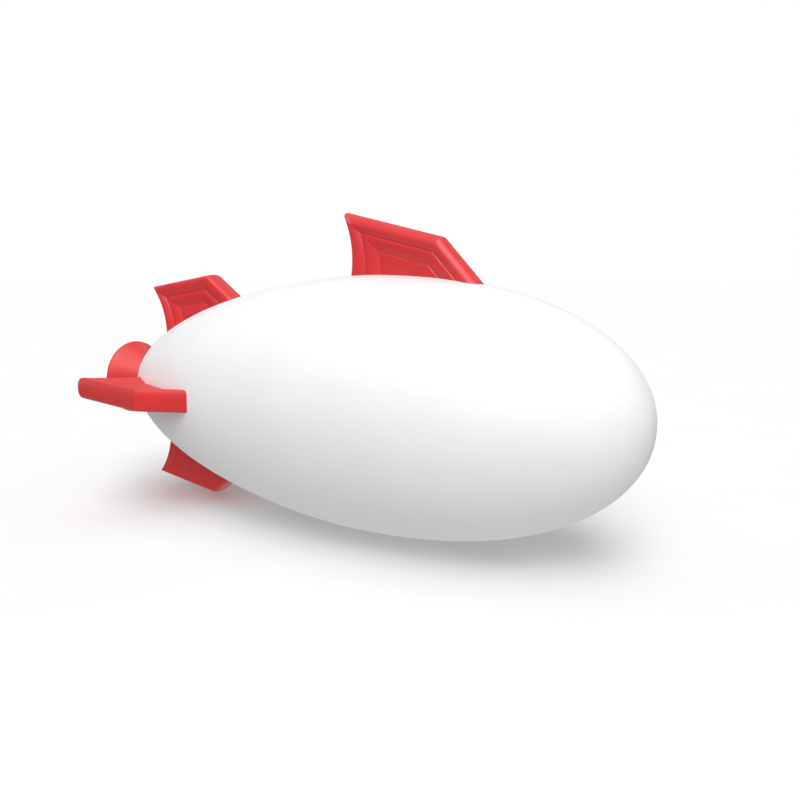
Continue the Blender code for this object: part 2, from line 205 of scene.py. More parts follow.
# Section of a fin, from its edge inwards
REAR_EDGE = (0.055, 2.1)  # depth of the rounded rear edge and its power
EDGE_STEPS = 14
WELD_HALF = 0.0045  # the weld along the middle of the edge
WELD_PROUD = 0.0003
# a crease's distance in from the outline, the fall to it, the rise after it and that rise's width
CREASES = ((0.132, 0.026, 0.0085, 0.028), (0.252, 0.0235, 0.0065, 0.026))
FALL_POWER = 1.7
GROOVE_DEPTH = 0.0012
GROOVE_WIDTH = 0.0026
BEFORE_CREASE = (0.072, 0.064, 0.054, 0.044, 0.035, 0.027, 0.02, 0.014, 0.009, 0.0055, 0.003,
                 0.0014)
AFTER_CREASE = (0.0014, 0.003, 0.0055, 0.009, 0.014, 0.02, 0.028, 0.04)
PUCKER_DEPTH = 0.0022
PUCKER_WIDTH = 0.02
FIELD_CROWN = 0.004
FIELD_SHARES = (0.08, 0.18, 0.32, 0.5, 0.75, 1.0)
CORNER_SOFT = (0.014, 0.008)  # rounding of the corners at the outline and at the creases
# points of a fin's loop: below its root, along its rear with those, round a corner and so on
FOOT_POINTS, REAR_POINTS, CORNER_POINTS, TOP_POINTS, FRONT_POINTS = 5, 29, 8, 24, 28
TIP_BLEND = 2  # points past the tip over which the rear edge's rounding gives way
FLOOR_DEPTH = 0.09  # how far the uncut fin runs on below its root corners
ROOT_SINK = 0.002  # how far a root reaches into the skin
BLOCK_MARGIN = 0.05  # how much larger than a fin the block is that trims its root
BLOCK_STEP = 0.014
BLOCK_COLUMNS = 20

# Scene
FLOOR_Z = -1.088
FLOOR_HALF = 1500.0
# the studio's brightness at heights given as the sine of the angle above the horizon
SURROUNDINGS = ((-1.0, 0.77), (-0.6, 0.77), (-0.35, 0.38), (-0.12, 0.02), (0.0, 0.94), (0.15, 0.52),
                (0.35, 0.05), (0.6, 1.2), (0.85, 0.05), (1.0, 1.95))
# lamps: name, where the light comes from, strength, spread in degrees
LAMPS = (
    ("key", (0.975, -1.818, 1.6), 1.22, 40.0),
    ("overhead", (0.6, -0.9, 1.8), 1.26, 40.0),
    ("ahead", (1.0, -0.4, 0.12), 0.26, 40.0),
)
BACKDROP_RADIUS = 75.0
BACKDROP_HEIGHT = 60.0
BACKDROP_SUNK = 1.0
CAMERA_PLACE = (4.3462, -5.8858, 1.1664)
CAMERA_TURN = (radians(80.934), 0.0, radians(33.559))
CAMERA_LENS = 40.0


# The envelope's curve

def hull_radius(x):
    """The envelope's radius at a place along its axis."""
    ahead = x > WIDEST_X
    reach = LENGTH / 2 - WIDEST_X if ahead else LENGTH / 2 + WIDEST_X
    along, across = NOSE_POWERS if ahead else TAIL_POWERS
    share = min(abs(x - WIDEST_X) / reach, 1.0)
    return RADIUS * (1 - share ** along) ** (1 / across)


def hull_slope(x):
    """How fast the envelope's radius grows along its axis."""
    step = 1e-4
    return (hull_radius(x + step) - hull_radius(x - step)) / (2 * step)


def lifted(x, height):
    """(x, radius) of the point that far off the envelope's curve at x."""
    slope = hull_slope(x)
    size = hypot(1, slope)
    return x - slope / size * height, hull_radius(x) + height / size


def hull_point(x, angle, height=0.0):
    """The point that far off the envelope at a place along it and an angle about it from +Y."""
    along, radius = lifted(x, height)
    return Vector((along, radius * cos(angle), radius * sin(angle)))


def stations(start, end, count):
    """Places from start to end that lie closer together towards the envelope's ends."""
    reach = LENGTH / 2 - WIDEST_X if end > WIDEST_X else LENGTH / 2 + WIDEST_X
    low, high = (asin((x - WIDEST_X) / reach) for x in (start, end))
    return [WIDEST_X + reach * sin(turn) for turn in evenly(low, high, count)]


SKIN_STATIONS = (stations(TAIL_CAP_X, WIDEST_X - 1e-9, TAIL_ROWS)
                 + stations(WIDEST_X, NOSE_CAP_X, NOSE_ROWS)[1:])


def bulge(place, middle, half_width):
    """A smooth bump's height, 1 at its middle."""
    return exp(-((place - middle) / half_width) ** 2)


def valley(x, off_seam):
    """How far the skin is drawn in at a distance from a weld."""
    share, along, across = VALLEY_UNEVEN
    uneven = 1 + share * noise.noise(Vector((x * along, off_seam * across, 0.0)))
    return VALLEY_DEPTH * uneven * bulge(off_seam, 0.0, VALLEY_WIDTH)


def valley_under(x, angle):
    """How far the skin is drawn in at an angle about the axis."""
    pitch = 2 * pi / GORES
    nearest = round((angle - pitch / 2) / pitch) * pitch + pitch / 2
    return valley(x, hull_radius(x) * abs(angle - nearest))


# Meshes

def lengths_along(line):
    """How far along a line of (x, y) points each of them lies."""
    lengths = [0.0]
    for (a, b), (c, d) in zip(line, line[1:]):
        lengths.append(lengths[-1] + hypot(c - a, d - b))
    return lengths


def add_grid(bm, points, places, wrap=False, ends=False):
    """Quads over rows of points, and end faces if asked. places are those on the flat cloth."""
    layer = bm.loops.layers.uv.get("cloth") or bm.loops.layers.uv.new("cloth")
    rows = [[bm.verts.new(p) for p in row] for row in points]
    for i in range(len(rows) - 1):
        count = len(rows[i])
        for k in range(count if wrap else count - 1):
            n = (k + 1) % count
            corners = ((i, k), (i, n), (i + 1, n), (i + 1, k))
            face = bm.faces.new([rows[a][b] for a, b in corners])
            for loop, (a, b) in zip(face.loops, corners):
                loop[layer].uv = places[a][b]
    if ends:
        for row in (rows[0], rows[-1]):
            bm.faces.new(row)
    return rows


def mesh_from(bm):
    mesh = bpy.data.meshes.new("mesh")
    bm.to_mesh(mesh)
    bm.free()
    return mesh


def smoothed(mesh, sharp=50.0):
    """Shades a mesh smooth but for edges sharper than that many degrees."""
    mesh.shade_smooth()
    mesh.set_sharp_from_angle(angle=radians(sharp))
    return mesh


def finish_mesh(bm, sharp=50.0, weld=1e-6):
    """A smooth-shaded closed mesh whose faces point out."""
    bmesh.ops.remove_doubles(bm, verts=bm.verts, dist=weld)
    bmesh.ops.dissolve_degenerate(bm, edges=bm.edges, dist=weld)
    bmesh.ops.recalc_face_normals(bm, faces=bm.faces)
    return smoothed(mesh_from(bm), sharp)


def placed(name, data):
    """A new object in the scene."""
    obj = bpy.data.objects.new(name, data)
    bpy.context.scene.collection.objects.link(obj)
    return obj


def piece(name, mesh, mat, replaced=(), matrix=None, body="envelope"):
    """Adds a piece, lets it ride on a body and hides the model's parts that it replaces."""
    obj = placed(name, mesh)
    mesh.name = name
    mesh.materials.clear()
    mesh.materials.append(mat)
    if matrix is not None:
        obj.matrix_world = matrix
    bpy.context.view_layer.update()
    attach(obj, body)
    if replaced:
        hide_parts(*replaced)
    return obj


def turned(profile, steps, axis="X", ripple=None):
    """A solid turned from (along the axis, radius) points. ripple(point, angle) moves its wall."""
    lengths = lengths_along(profile)
    widest = max(r for _, r in profile)
    points, places = [], []
    for angle in evenly(0, 2 * pi, steps):
        row = []
        for index, (along, radius) in enumerate(profile):
            r = radius + (ripple(index, angle) if ripple else 0.0)
            c, s = r * cos(angle), r * sin(angle)
            row.append(Vector((along, c, s)) if axis == "X" else Vector((c, s, along)))
        points.append(row)
        places.append([(length, angle * widest) for length in lengths])
    bm = bmesh.new()
    add_grid(bm, points, places)
    return bm


def last_where(test, low, high):
    """Just past the last place from low, where the test holds, to high, where it doesn't."""
    for _ in range(HALVINGS):
        middle = (low + high) / 2
        low, high = (middle, high) if test(middle) else (low, middle)
    return high


def arc(centre, radius, start, end, steps):
    """(along, radius) points of an arc, its angles in degrees from the axis's direction."""
    return [(centre[0] + radius * cos(radians(turn)), centre[1] + radius * sin(radians(turn)))
            for turn in evenly(start, end, steps)]


def edges_of(verts):
    return list({edge for vert in verts for edge in vert.link_edges})


def add_box(bm, low, high, round_by):
    """A box with rounded edges between two corners."""
    low, high = Vector(low), Vector(high)
    verts = bmesh.ops.create_cube(bm, size=1.0)["verts"]
    bmesh.ops.scale(bm, verts=verts, vec=high - low)
    bmesh.ops.translate(bm, verts=verts, vec=(high + low) / 2)
    bmesh.ops.bevel(bm, geom=edges_of(verts), offset=round_by, segments=3, profile=0.5,
                    affect="EDGES")


def add_rod(bm, radius, start, end, steps=24):
    """A round rod with softened ends between two points."""
    start, end = Vector(start), Vector(end)
    axis = end - start
    turn = Vector((0, 0, 1)).rotation_difference(axis).to_matrix().to_4x4()
    verts = bmesh.ops.create_cone(bm, cap_ends=True, segments=steps, radius1=radius,
                                  radius2=radius, depth=axis.length)["verts"]
    rims = [e for e in edges_of(verts) if abs(e.verts[0].co.z - e.verts[1].co.z) < 1e-9]
    bmesh.ops.transform(bm, matrix=Matrix.Translation((start + end) / 2) @ turn, verts=verts)
    bmesh.ops.bevel(bm, geom=rims, offset=min(radius, axis.length) / 4, segments=2, profile=0.5,
                    affect="EDGES")


# Materials

TONE_RUN = (0.3, 0.7)  # the part of a noise over which a tone runs
WAVE_FACTOR = 20  # radians in each metre of a wave texture of scale 1


def feed(tree, made, inputs):
    """Gives a node its inputs, each a value or another node's output."""
    for key, value in inputs.items():
        if isinstance(value, bpy.types.NodeSocket):
            tree.links.new(value, made.inputs[key])
        else:
            made.inputs[key].default_value = value


def node(tree, kind, inputs=None, **settings):
    """A shader node with its settings and its inputs."""
    made = tree.nodes.new("ShaderNode" + kind)
    for key, value in settings.items():
        setattr(made, key, value)
    feed(tree, made, inputs or {})
    return made


def new_material(name):
    mat = bpy.data.materials.new(name)
    mat.use_nodes = True
    return mat, mat.node_tree, mat.node_tree.nodes["Principled BSDF"]


def object_place(tree):
    return node(tree, "TexCoord").outputs["Object"]


def clouds(tree, place, scale, detail, roughness=0.5):
    inputs = {"Vector": place, "Scale": scale, "Detail": detail, "Roughness": roughness}
    return node(tree, "TexNoise", inputs).outputs["Fac"]


def spread(tree, value, low, high, run=(0.0, 1.0)):
    """Moves a value's run to the run from low to high."""
    inputs = {"Value": value, "From Min": run[0], "From Max": run[1], "To Min": low, "To Max": high}
    return node(tree, "MapRange", inputs).outputs["Result"]


def combined(tree, operation, first, second):
    return node(tree, "Math", {0: first, 1: second}, operation=operation).outputs["Value"]


def tone(tree, factor, low, high):
    """A colour that runs from low to high with a factor."""
    ramp = node(tree, "ValToRGB", {"Fac": factor})
    for element, place, colour in zip(ramp.color_ramp.elements, TONE_RUN, (low, high)):
        element.position = place
        element.color = (*colour, 1.0)
    return ramp.outputs["Color"]


def bumped(tree, height, strength, distance, over=None):
    """A normal that follows a height, over another normal where one is given."""
    inputs = {"Height": height, "Strength": strength, "Distance": distance}
    if over is not None:
        inputs["Normal"] = over
    return node(tree, "Bump", inputs).outputs["Normal"]


def ribs(tree, pitch, way):
    """Even ribs with that pitch, over the cloth's own place in metres."""
    cloth = node(tree, "UVMap", uv_map="cloth").outputs["UV"]
    inputs = {"Vector": cloth, "Scale": 2 * pi / WAVE_FACTOR / pitch}
    return node(tree, "TexWave", inputs, bands_direction=way).outputs["Fac"]


def coated_cloth(name, low, high, roughness, pitch=0.0022, weave_depth=0.00004, specular=0.4,
                 sheen=0.0):
    """Coated cloth: a faint weave under a satin film, a little uneven in tone and gloss."""
    mat, tree, shader = new_material(name)
    place = object_place(tree)
    broad = clouds(tree, place, 1.6, 3.0, 0.55)
    fine = clouds(tree, place, 55.0, 4.0, 0.6)
    film = combined(tree, "ADD", broad, spread(tree, fine, -0.14, 0.14))
    weave = combined(tree, "MULTIPLY", ribs(tree, pitch, "X"), ribs(tree, pitch, "Y"))
    ripple = bumped(tree, broad, 0.35, 0.004)
    feed(tree, shader, {
        "Base Color": tone(tree, film, low, high),
        "Roughness": spread(tree, film, roughness - 0.05, roughness + 0.05, TONE_RUN),
        "Normal": bumped(tree, weave, 1.0, weave_depth, ripple),
        "Specular IOR Level": specular,
        "Sheen Weight": sheen,
    })
    return mat


def welded_tape(name, low, high, roughness):
    """A weld: the cloth with the fine cross ribs of the press."""
    mat = coated_cloth(name, low, high, roughness)
    tree = mat.node_tree
    shader = tree.nodes["Principled BSDF"]
    below = shader.inputs["Normal"].links[0].from_socket
    feed(tree, shader, {"Normal": bumped(tree, ribs(tree, 0.004, "X"), 0.6, 0.0001, below)})
    return mat


def moulded_plastic(name, low, high, roughness):
    mat, tree, shader = new_material(name)
    place = object_place(tree)
    broad = clouds(tree, place, 60.0, 3.0)
    grain = clouds(tree, place, 2600.0, 2.0)
    feed(tree, shader, {
        "Base Color": tone(tree, broad, low, high),
        "Roughness": spread(tree, broad, roughness - 0.06, roughness + 0.06),
        "Normal": bumped(tree, grain, 0.4, 0.00004),
    })
    return mat


def brushed_steel(name, low, high):
    """Drawn steel wire: fine lines and smudges in the gloss."""
    mat, tree, shader = new_material(name)
    place = object_place(tree)
    lines = node(tree, "Mapping", {"Vector": place, "Scale": (4000.0, 500.0, 500.0)})
    drawn = clouds(tree, lines.outputs["Vector"], 1.0, 3.0)
    smudge = clouds(tree, place, 140.0, 3.0)
    feed(tree, shader, {
        "Base Color": tone(tree, smudge, low, high),
        "Roughness": spread(tree, smudge, 0.2, 0.42),
        "Normal": bumped(tree, drawn, 0.3, 0.00003),
        "Metallic": 1.0,
    })
    return mat


WHITE = coated_cloth("envelope_white", (0.78, 0.78, 0.785), (0.805, 0.805, 0.81), 0.46)
RED = coated_cloth("fin_red", (0.575, 0.012, 0.015), (0.615, 0.015, 0.018), 0.44, specular=0.65)
TAPE_WHITE = welded_tape("weld_white", (0.774, 0.774, 0.779), (0.799, 0.799, 0.804), 0.46)
PATCH_WHITE = coated_cloth("patch_white", (0.78, 0.78, 0.79), (0.82, 0.82, 0.83), 0.45, 0.0012,
                           0.00005)
WEBBING = coated_cloth("keeper_webbing", (0.62, 0.62, 0.61), (0.72, 0.72, 0.71), 0.85, 0.0016,
                       0.00035, sheen=0.3)
THREAD = coated_cloth("stitch_thread", (0.5, 0.5, 0.5), (0.6, 0.6, 0.6), 0.7, 0.0006, 0.0001,
                      sheen=0.2)
VALVE_WHITE = moulded_plastic("valve_white", (0.76, 0.76, 0.76), (0.8, 0.8, 0.8), 0.36)
CAP_WHITE = moulded_plastic("valve_cap_white", (0.7, 0.7, 0.71), (0.75, 0.75, 0.76), 0.33)
FLAP_GREY = moulded_plastic("valve_flap_grey", (0.1, 0.1, 0.105), (0.14, 0.14, 0.145), 0.5)
STEEL = brushed_steel("ring_steel", (0.55, 0.55, 0.57), (0.66, 0.66, 0.68))


# Envelope

def gore_skin(number):
    """One gore's wall: a smooth outside, drawn in along its two welds, over a plain inside."""
    middle, half = 2 * pi * (number - 1) / GORES, pi / GORES
    bm = bmesh.new()
    points, places = [], []
    for x, run in zip(SKIN_STATIONS, lengths_along([(x, hull_radius(x)) for x in SKIN_STATIONS])):
        radius = hull_radius(x)
        outer, inner, flat = [], [], []
        for k in range(GORE_COLUMNS + 1):
            turn = (half - GAP / 2 / radius) * (2 * k / GORE_COLUMNS - 1)
            off_seam = radius * (half - abs(turn))
            outer.append(hull_point(x, middle + turn, -valley(x, off_seam)))
            inner.append(hull_point(x, middle + turn, -SHELL))
            flat.append((run, radius * turn))
        points.append(outer + inner[::-1])
        places.append(flat + flat[::-1])
    rows = add_grid(bm, points, places, wrap=True)
    columns = GORE_COLUMNS + 1
    for row in (rows[0], rows[-1]):
        for k in range(columns - 1):
            bm.faces.new((row[k], row[k + 1], row[2 * columns - 2 - k], row[2 * columns - 1 - k]))
    piece(f"gore_skin_{number:02d}", finish_mesh(bm, weld=1e-7), WHITE,
          [f"envelope_gore_{number:02d}"])


def strip(places_x, middle, half_width, proud, columns):
    """A thin closed strip along the envelope. half_width is a function of x."""
    points, places = [], []
    for x in places_x:
        radius, half = hull_radius(x), half_width(x)
        across = [-half, -half + proud] + evenly(-half, half, columns)[1:-1] + [half - proud, half]
        heights = [-TAPE_SUNK] + [proud] * (columns + 1) + [-TAPE_SUNK]
        top = [hull_point(x, middle + t / radius, h - valley_under(x, middle + t / radius))
               for t, h in zip(across, heights)]
        bottom = [hull_point(x, middle + t / radius, -TAPE_UNDER) for t in (half, -half)]
        points.append(top + bottom)
        places.append([(x, t) for t in across] + [(x, half), (x, -half)])
    bm = bmesh.new()
    add_grid(bm, points, places, wrap=True, ends=True)
    return bm


def seam_tape(number):
    """The weld between a gore and the next one."""
    angle = 2 * pi * (number - 0.5) / GORES
    bm = strip(SKIN_STATIONS, angle, lambda x: TAPE_HALF, TAPE_PROUD, 4)
    piece(f"seam_tape_{number:02d}", finish_mesh(bm, TAPE_SHARP), TAPE_WHITE)


def nose_weld():
    """The round weld between the gores and the nose cap."""
    reach = TAPE_HALF * NOSE_WELD_WIDER / hypot(1, hull_slope(NOSE_CAP_X))
    xs = evenly(NOSE_CAP_X - reach, NOSE_CAP_X + reach, RING_TAPE_STEPS)
    top = [lifted(x, -TAPE_SUNK if x in (xs[0], xs[-1]) else 2 * TAPE_PROUD) for x in xs]
    bottom = [lifted(x, -TAPE_UNDER) for x in (xs[-1], xs[0])]
    mesh = finish_mesh(turned(top + bottom + top[:1], TURN_STEPS), TAPE_SHARP)
    piece("nose_cap_weld", mesh, TAPE_WHITE)


def cap_skin(node_name, rim_x, tip_x):
    """A dished end cap, as thick as the gores."""
    end = 1 if tip_x > 0 else -1
    places_x = stations(rim_x + end * GAP, tip_x - end * 1e-6, CAP_ROWS)[:-1]
    outer = [(x, hull_radius(x)) for x in places_x]
    inner = [lifted(x, -SHELL) for x in places_x]
    profile = [(tip_x, 0.0)] + outer[::-1] + inner + [(tip_x - end * SHELL, 0.0)]
    mesh = finish_mesh(turned(profile, TURN_STEPS))
    piece(f"{node_name}_skin", mesh, WHITE, [node_name])


def build_envelope():
    for number in range(1, GORES + 1):
        gore_skin(number)
        seam_tape(number)
    cap_skin("nose_cap", NOSE_CAP_X, LENGTH / 2)
    cap_skin("tail_cap", TAIL_CAP_X, -LENGTH / 2)
    nose_weld()


# Fins

def crossing(first, second):
    """Where two lines cross, each given as a point and a direction."""
    (p, d), (q, e) = first, second
    return p + d * ((q - p).cross(e) / d.cross(e))


def inner_share(distance):
    """How far in from the outline a distance is, where 1 is at the first crease."""
    return min(max(distance, 0.0) / CREASES[0][0], 1.0)


def fin_lines(fin, distance):
    """A fin's rear, top and front lines, moved inwards, and the lines at and below its root."""
    corners = [Vector(fin[key]) for key in ("root_rear", "tip_rear", "tip_front", "root_front")]
    runs = [(b - a).normalized() for a, b in zip(corners, corners[1:])]
    share = inner_share(distance)
    moved = [(a + Vector((run.y, -run.x)) * distance * (1 + (inset - 1) * share), run)
             for a, run, inset in zip(corners, runs, fin["insets"])]
    base = (corners[0], (corners[3] - corners[0]).normalized())
    floor = (corners[0] - Vector((0.0, FLOOR_DEPTH)), base[1])
    return moved, base, floor


def fin_loop(fin, distance):
    """The line that far in from a fin's outline, from below the root's rear round to its front."""
    (rear, top, front), base, floor = fin_lines(fin, distance)
    start, first, second = crossing(rear, base), crossing(rear, top), crossing(top, front)
    chord = first - start
    full_chord = Vector(fin["tip_rear"]) - Vector(fin["root_rear"])
    ahead = Vector((rear[1].y, -rear[1].x))
    hollow = fin["rear_hollow"] * (chord.length / full_chord.length) ** 2

    def rear_place(share):
        return start + chord * share + ahead * hollow * 4 * share * (1 - share)

    soft = CORNER_SOFT[0] + (CORNER_SOFT[1] - CORNER_SOFT[0]) * inner_share(distance)
    start_way = chord + ahead * hollow * 4
    foot = crossing((start, start_way.normalized()), floor)
    toe = crossing(front, floor)
    rear_end = 1 - soft / chord.length
    points = run_between(foot, start, FOOT_POINTS)
    arc_steps = REAR_POINTS - FOOT_POINTS
    points += [rear_place(rear_end * k / arc_steps) for k in range(arc_steps)]
    points += bend(rear_place(rear_end), first, first + top[1] * soft, CORNER_POINTS)
    points += run_between(first + top[1] * soft, second - top[1] * soft, TOP_POINTS)
    points += bend(second - top[1] * soft, second, second + front[1] * soft, CORNER_POINTS)
    points += run_between(second + front[1] * soft, toe, FRONT_POINTS) + [toe]
    return points


def bend(start, corner, end, steps):
    """A rounded corner without its last point."""
    return [start * (1 - t) ** 2 + corner * 2 * t * (1 - t) + end * t * t
            for t in (k / steps for k in range(steps))]


def run_between(start, end, steps):
    """A straight run without its last point."""
    return [start.lerp(end, k / steps) for k in range(steps)]


def pad_height(distance):
    """A fin's half-thickness at a distance in from its outline, past the rounded edge."""
    height, start = FIN_THICKNESS / 2, REAR_EDGE[0]
    for crease, fall, rise, rise_width in CREASES:
        dent = GROOVE_DEPTH * bulge(distance, crease, GROOVE_WIDTH)
        if distance <= crease:
            share = max(distance - start, 0.0) / (crease - start)
            return height - fall * share ** FALL_POWER - dent
        height += rise - fall
        start = crease + rise_width
        if distance < start:
            return height - rise * (1 - sin(pi / 2 * (distance - crease) / rise_width)) - dent
    return height


def rear_share(index):
    """How much of the rear edge's rounding a point of a fin's loop has."""
    share = (index - REAR_POINTS) / (CORNER_POINTS + TIP_BLEND)
    return 0.5 + 0.5 * cos(pi * min(max(share, 0.0), 1.0))


def fin_section(edge, clear):
    """(distance in from the outline, height, run over the cloth) from the edge's middle inwards.

    Rows less than clear from the outline belong to the rounded edge alone.
    """
    depth, power = edge
    half, start = pad_height(depth), WELD_HALF * 1.5
    rows = [(-WELD_PROUD, 0.0), (-WELD_PROUD, WELD_HALF), (0.0, WELD_HALF + WELD_PROUD / 4)]
    for k in range(1, EDGE_STEPS + 1):
        height = start + (half - start) * sin(pi / 2 * k / EDGE_STEPS)
        rows.append((depth * (1 - max(1 - (height / half) ** power, 0.0) ** (1 / power)), height))
    for crease, *_ in CREASES:
        inner = [crease - d for d in BEFORE_CREASE] + [crease] + [crease + d for d in AFTER_CREASE]
        rows += [(d, pad_height(d)) for d in inner if d > clear]
    lengths = lengths_along(rows)
    edge_run = rows[-1][0] - lengths[-1]
    return [(*row, edge_run + length) for row, length in zip(rows, lengths)]


def pucker(distance, run, seed):
    """Small gathers across each crease."""
    near = sum(bulge(distance, row[0], PUCKER_WIDTH) for row in CREASES)
    if near < 1e-3:
        return 0.0
    broad = noise.noise(Vector((run * 16.0, distance * 9.0, seed)))
    fine = noise.noise(Vector((run * 37.0, distance * 18.0, seed + 7.0)))
    return PUCKER_DEPTH * near * (0.7 * broad + 0.4 * fine)


def fin_side(fin, side, seed):
    """Rows of points and their places on the cloth, from a fin's edge in over one side."""
    points, places = [], []
    clear = max(REAR_EDGE[0], fin["edges"][0])
    for rear, other in zip(fin_section(REAR_EDGE, clear), fin_section(fin["edges"], clear)):
        (rear_loop, rear_flat), (loop, flat) = ([fin_loop(fin, s[0]), fin_loop(fin, s[2])]
                                                for s in (rear, other))
        row, place, run = [], [], 0.0
        for k in range(len(loop)):
            share = rear_share(k)
            point = loop[k].lerp(rear_loop[k], share)
            run += (loop[k] - loop[k - 1]).length if k else 0.0
            height = other[1] + (rear[1] - other[1]) * share + pucker(other[0], run, seed)
            row.append(Vector((point.x, point.y, side * height)))
            place.append(tuple(flat[k].lerp(rear_flat[k], share)))
        points.append(row)
        places.append(place)
    last, count = points[-1], len(points[-1])
    for share in FIELD_SHARES:
        crown = FIELD_CROWN * sin(pi / 2 * min(share * 2, 1.0))
        row = []
        for k, point in enumerate(last):
            along = k / (count - 1)
            moved = point.lerp(last[0].lerp(last[-1], along), share)
            moved.z = point.z + side * crown * sin(pi * along)
            row.append(moved)
        points.append(row)
        places.append([(p.x, p.y) for p in row])
    return points, places


def root_block(fin):
    """The envelope's inside below a fin, in the fin's own frame, to trim the fin's root."""
    loop = fin_loop(fin, -WELD_PROUD)
    low_x, high_x = min(p.x for p in loop) - BLOCK_MARGIN, max(p.x for p in loop) + BLOCK_MARGIN
    bottom = min(p.y for p in loop) - BLOCK_MARGIN
    half = FIN_THICKNESS / 2 + BLOCK_MARGIN
    across = [half * (2 * k / BLOCK_COLUMNS - 1) for k in range(BLOCK_COLUMNS + 1)]
    top = []
    for x in evenly(low_x, high_x, ceil((high_x - low_x) / BLOCK_STEP)):
        heights = [sqrt(max(hull_radius(x) ** 2 - z ** 2, 0.0)) - ROOT_SINK for z in across]
        top.append([Vector((x, max(y, bottom + BLOCK_MARGIN / 2), z))
                    for y, z in zip(heights, across)])
    bm = bmesh.new()
    add_grid(bm, top, [[(p.x, p.z) for p in row] for row in top])
    made = bmesh.ops.extrude_edge_only(bm, edges=[e for e in bm.edges if e.is_boundary])
    for part in made["geom"]:
        if isinstance(part, bmesh.types.BMVert):
            part.co.y = bottom
    bmesh.ops.holes_fill(bm, edges=bm.edges, sides=0)
    bmesh.ops.recalc_face_normals(bm, faces=bm.faces)
    return mesh_from(bm)


def trimmed(mesh, cutter_mesh):
    """The mesh without what lies inside another one."""
    body, cutter = placed("trim_body", mesh), placed("trim_cutter", cutter_mesh)
    boolean = body.modifiers.new("trim", "BOOLEAN")
    boolean.operation, boolean.object, boolean.solver = "DIFFERENCE", cutter, "EXACT"
    bpy.context.view_layer.update()
    shaped = body.evaluated_get(bpy.context.evaluated_depsgraph_get())
    result = bpy.data.meshes.new_from_object(shaped)
    for obj in (body, cutter):
        bpy.data.objects.remove(obj, do_unlink=True)
    return result


def fin_pad(node_name, fin, angle, seed):
    """A padded fin: rounded edges with a weld, two creases in from them, and a trimmed root."""
    above, below = fin_side(fin, 1, seed), fin_side(fin, -1, seed + 31.0)
    points = above[0][::-1] + below[0][1:]
    places = above[1][::-1] + below[1][1:]
    bm = bmesh.new()
    add_grid(bm, points, places)
    bmesh.ops.remove_doubles(bm, verts=bm.verts, dist=1e-6)
    bmesh.ops.holes_fill(bm, edges=bm.edges, sides=0)
    mesh = smoothed(trimmed(finish_mesh(bm), root_block(fin)))
    pad = piece(f"{node_name}_pad", mesh, RED, [node_name],
                Matrix.Rotation(radians(angle), 4, "X"))


def root_ends(fin):
    """The x at which a fin's rear line and its front line come out of the envelope."""
    (rear, _, front), _, floor = fin_lines(fin, 0.0)
    return [last_where(lambda p: p.y < hull_radius(p.x), crossing(line, floor), Vector(fin[tip])).x
            for line, tip in ((rear, "tip_rear"), (front, "tip_front"))]


def root_patch(node_name, fin, angle):
    """The thin patch that a fin's root is welded to."""
    rear, front = root_ends(fin)
    start, end = rear - ROOT_MARGIN, front + ROOT_MARGIN
    full = FIN_THICKNESS / 2 + ROOT_MARGIN
    corner = ROOT_CORNER

    def half_width(x):
        inside = min(x - start, end - x, corner)
        return full - corner + sqrt(max(corner ** 2 - (corner - inside) ** 2, 1e-8))

    ease = [corner * (1 - cos(pi / 2 * k / 8)) for k in range(8)]
    middle = evenly(start + corner, end - corner, ceil((end - start - 2 * corner) / ROOT_STEP))
    xs = [start + e for e in ease] + middle + [end - e for e in reversed(ease)]
    bm = strip(xs, radians(angle), half_width, 2 * TAPE_PROUD, 16)
    piece(f"{node_name}_root_patch", finish_mesh(bm, TAPE_SHARP), TAPE_WHITE)


def build_fins():
    for seed, (node_name, fin, angle) in enumerate(FINS):
        fin_pad(node_name, fin, angle, float(seed * 5))
        root_patch(node_name, fin, angle)


# Nozzle

def cone_radius(x):
    flare = (RIM_RADIUS - NECK_RADIUS) / (NECK_X - RIM_X)
    return NECK_RADIUS + flare * (NECK_X - x)


def build_nozzle():
    """The flared nozzle: a soft cone with a rolled rim and a dished face."""
    root_x = last_where(lambda x: hull_radius(x) < cone_radius(x), -LENGTH / 2, TAIL_CAP_X)
    seat = [(x, max(hull_radius(x) - ROOT_SINK, 0.0))
            for x in stations(root_x, -LENGTH / 2 + 1e-6, 8)]
    rim = arc((RIM_X + RIM_ROUND, RIM_RADIUS - RIM_ROUND), RIM_ROUND, RIM_START, 180, 14)
    cone_end, cone_end_radius = rim[0]
    lift = cone_end_radius - cone_radius(cone_end)
    cone = []
    for k in range(1, CONE_STEPS):
        share = k / CONE_STEPS
        x = root_x + (cone_end - root_x) * share
        cone.append((x, cone_radius(x) + CONE_PUFF * sin(pi * share) + lift * share ** 3))
    lip = arc((RIM_X + LIP_ROUND, DISH_RADIUS + LIP_ROUND), LIP_ROUND, 180, 270, 8)
    dish_x = RIM_X + DISH_DEPTH
    profile = [(-LENGTH / 2 + ROOT_SINK, 0.0)] + seat[-2::-1] + cone + rim + lip
    profile += [(dish_x - back, DISH_RADIUS - inwards) for back, inwards in DISH_FILLET]
    mesh = finish_mesh(turned(profile + [(dish_x, 0.0)], NOZZLE_STEPS))
    nozzle = piece("tail_nozzle_pad", mesh, RED, ["tail_nozzle"])
    build_end_panel(dish_x - GAP)


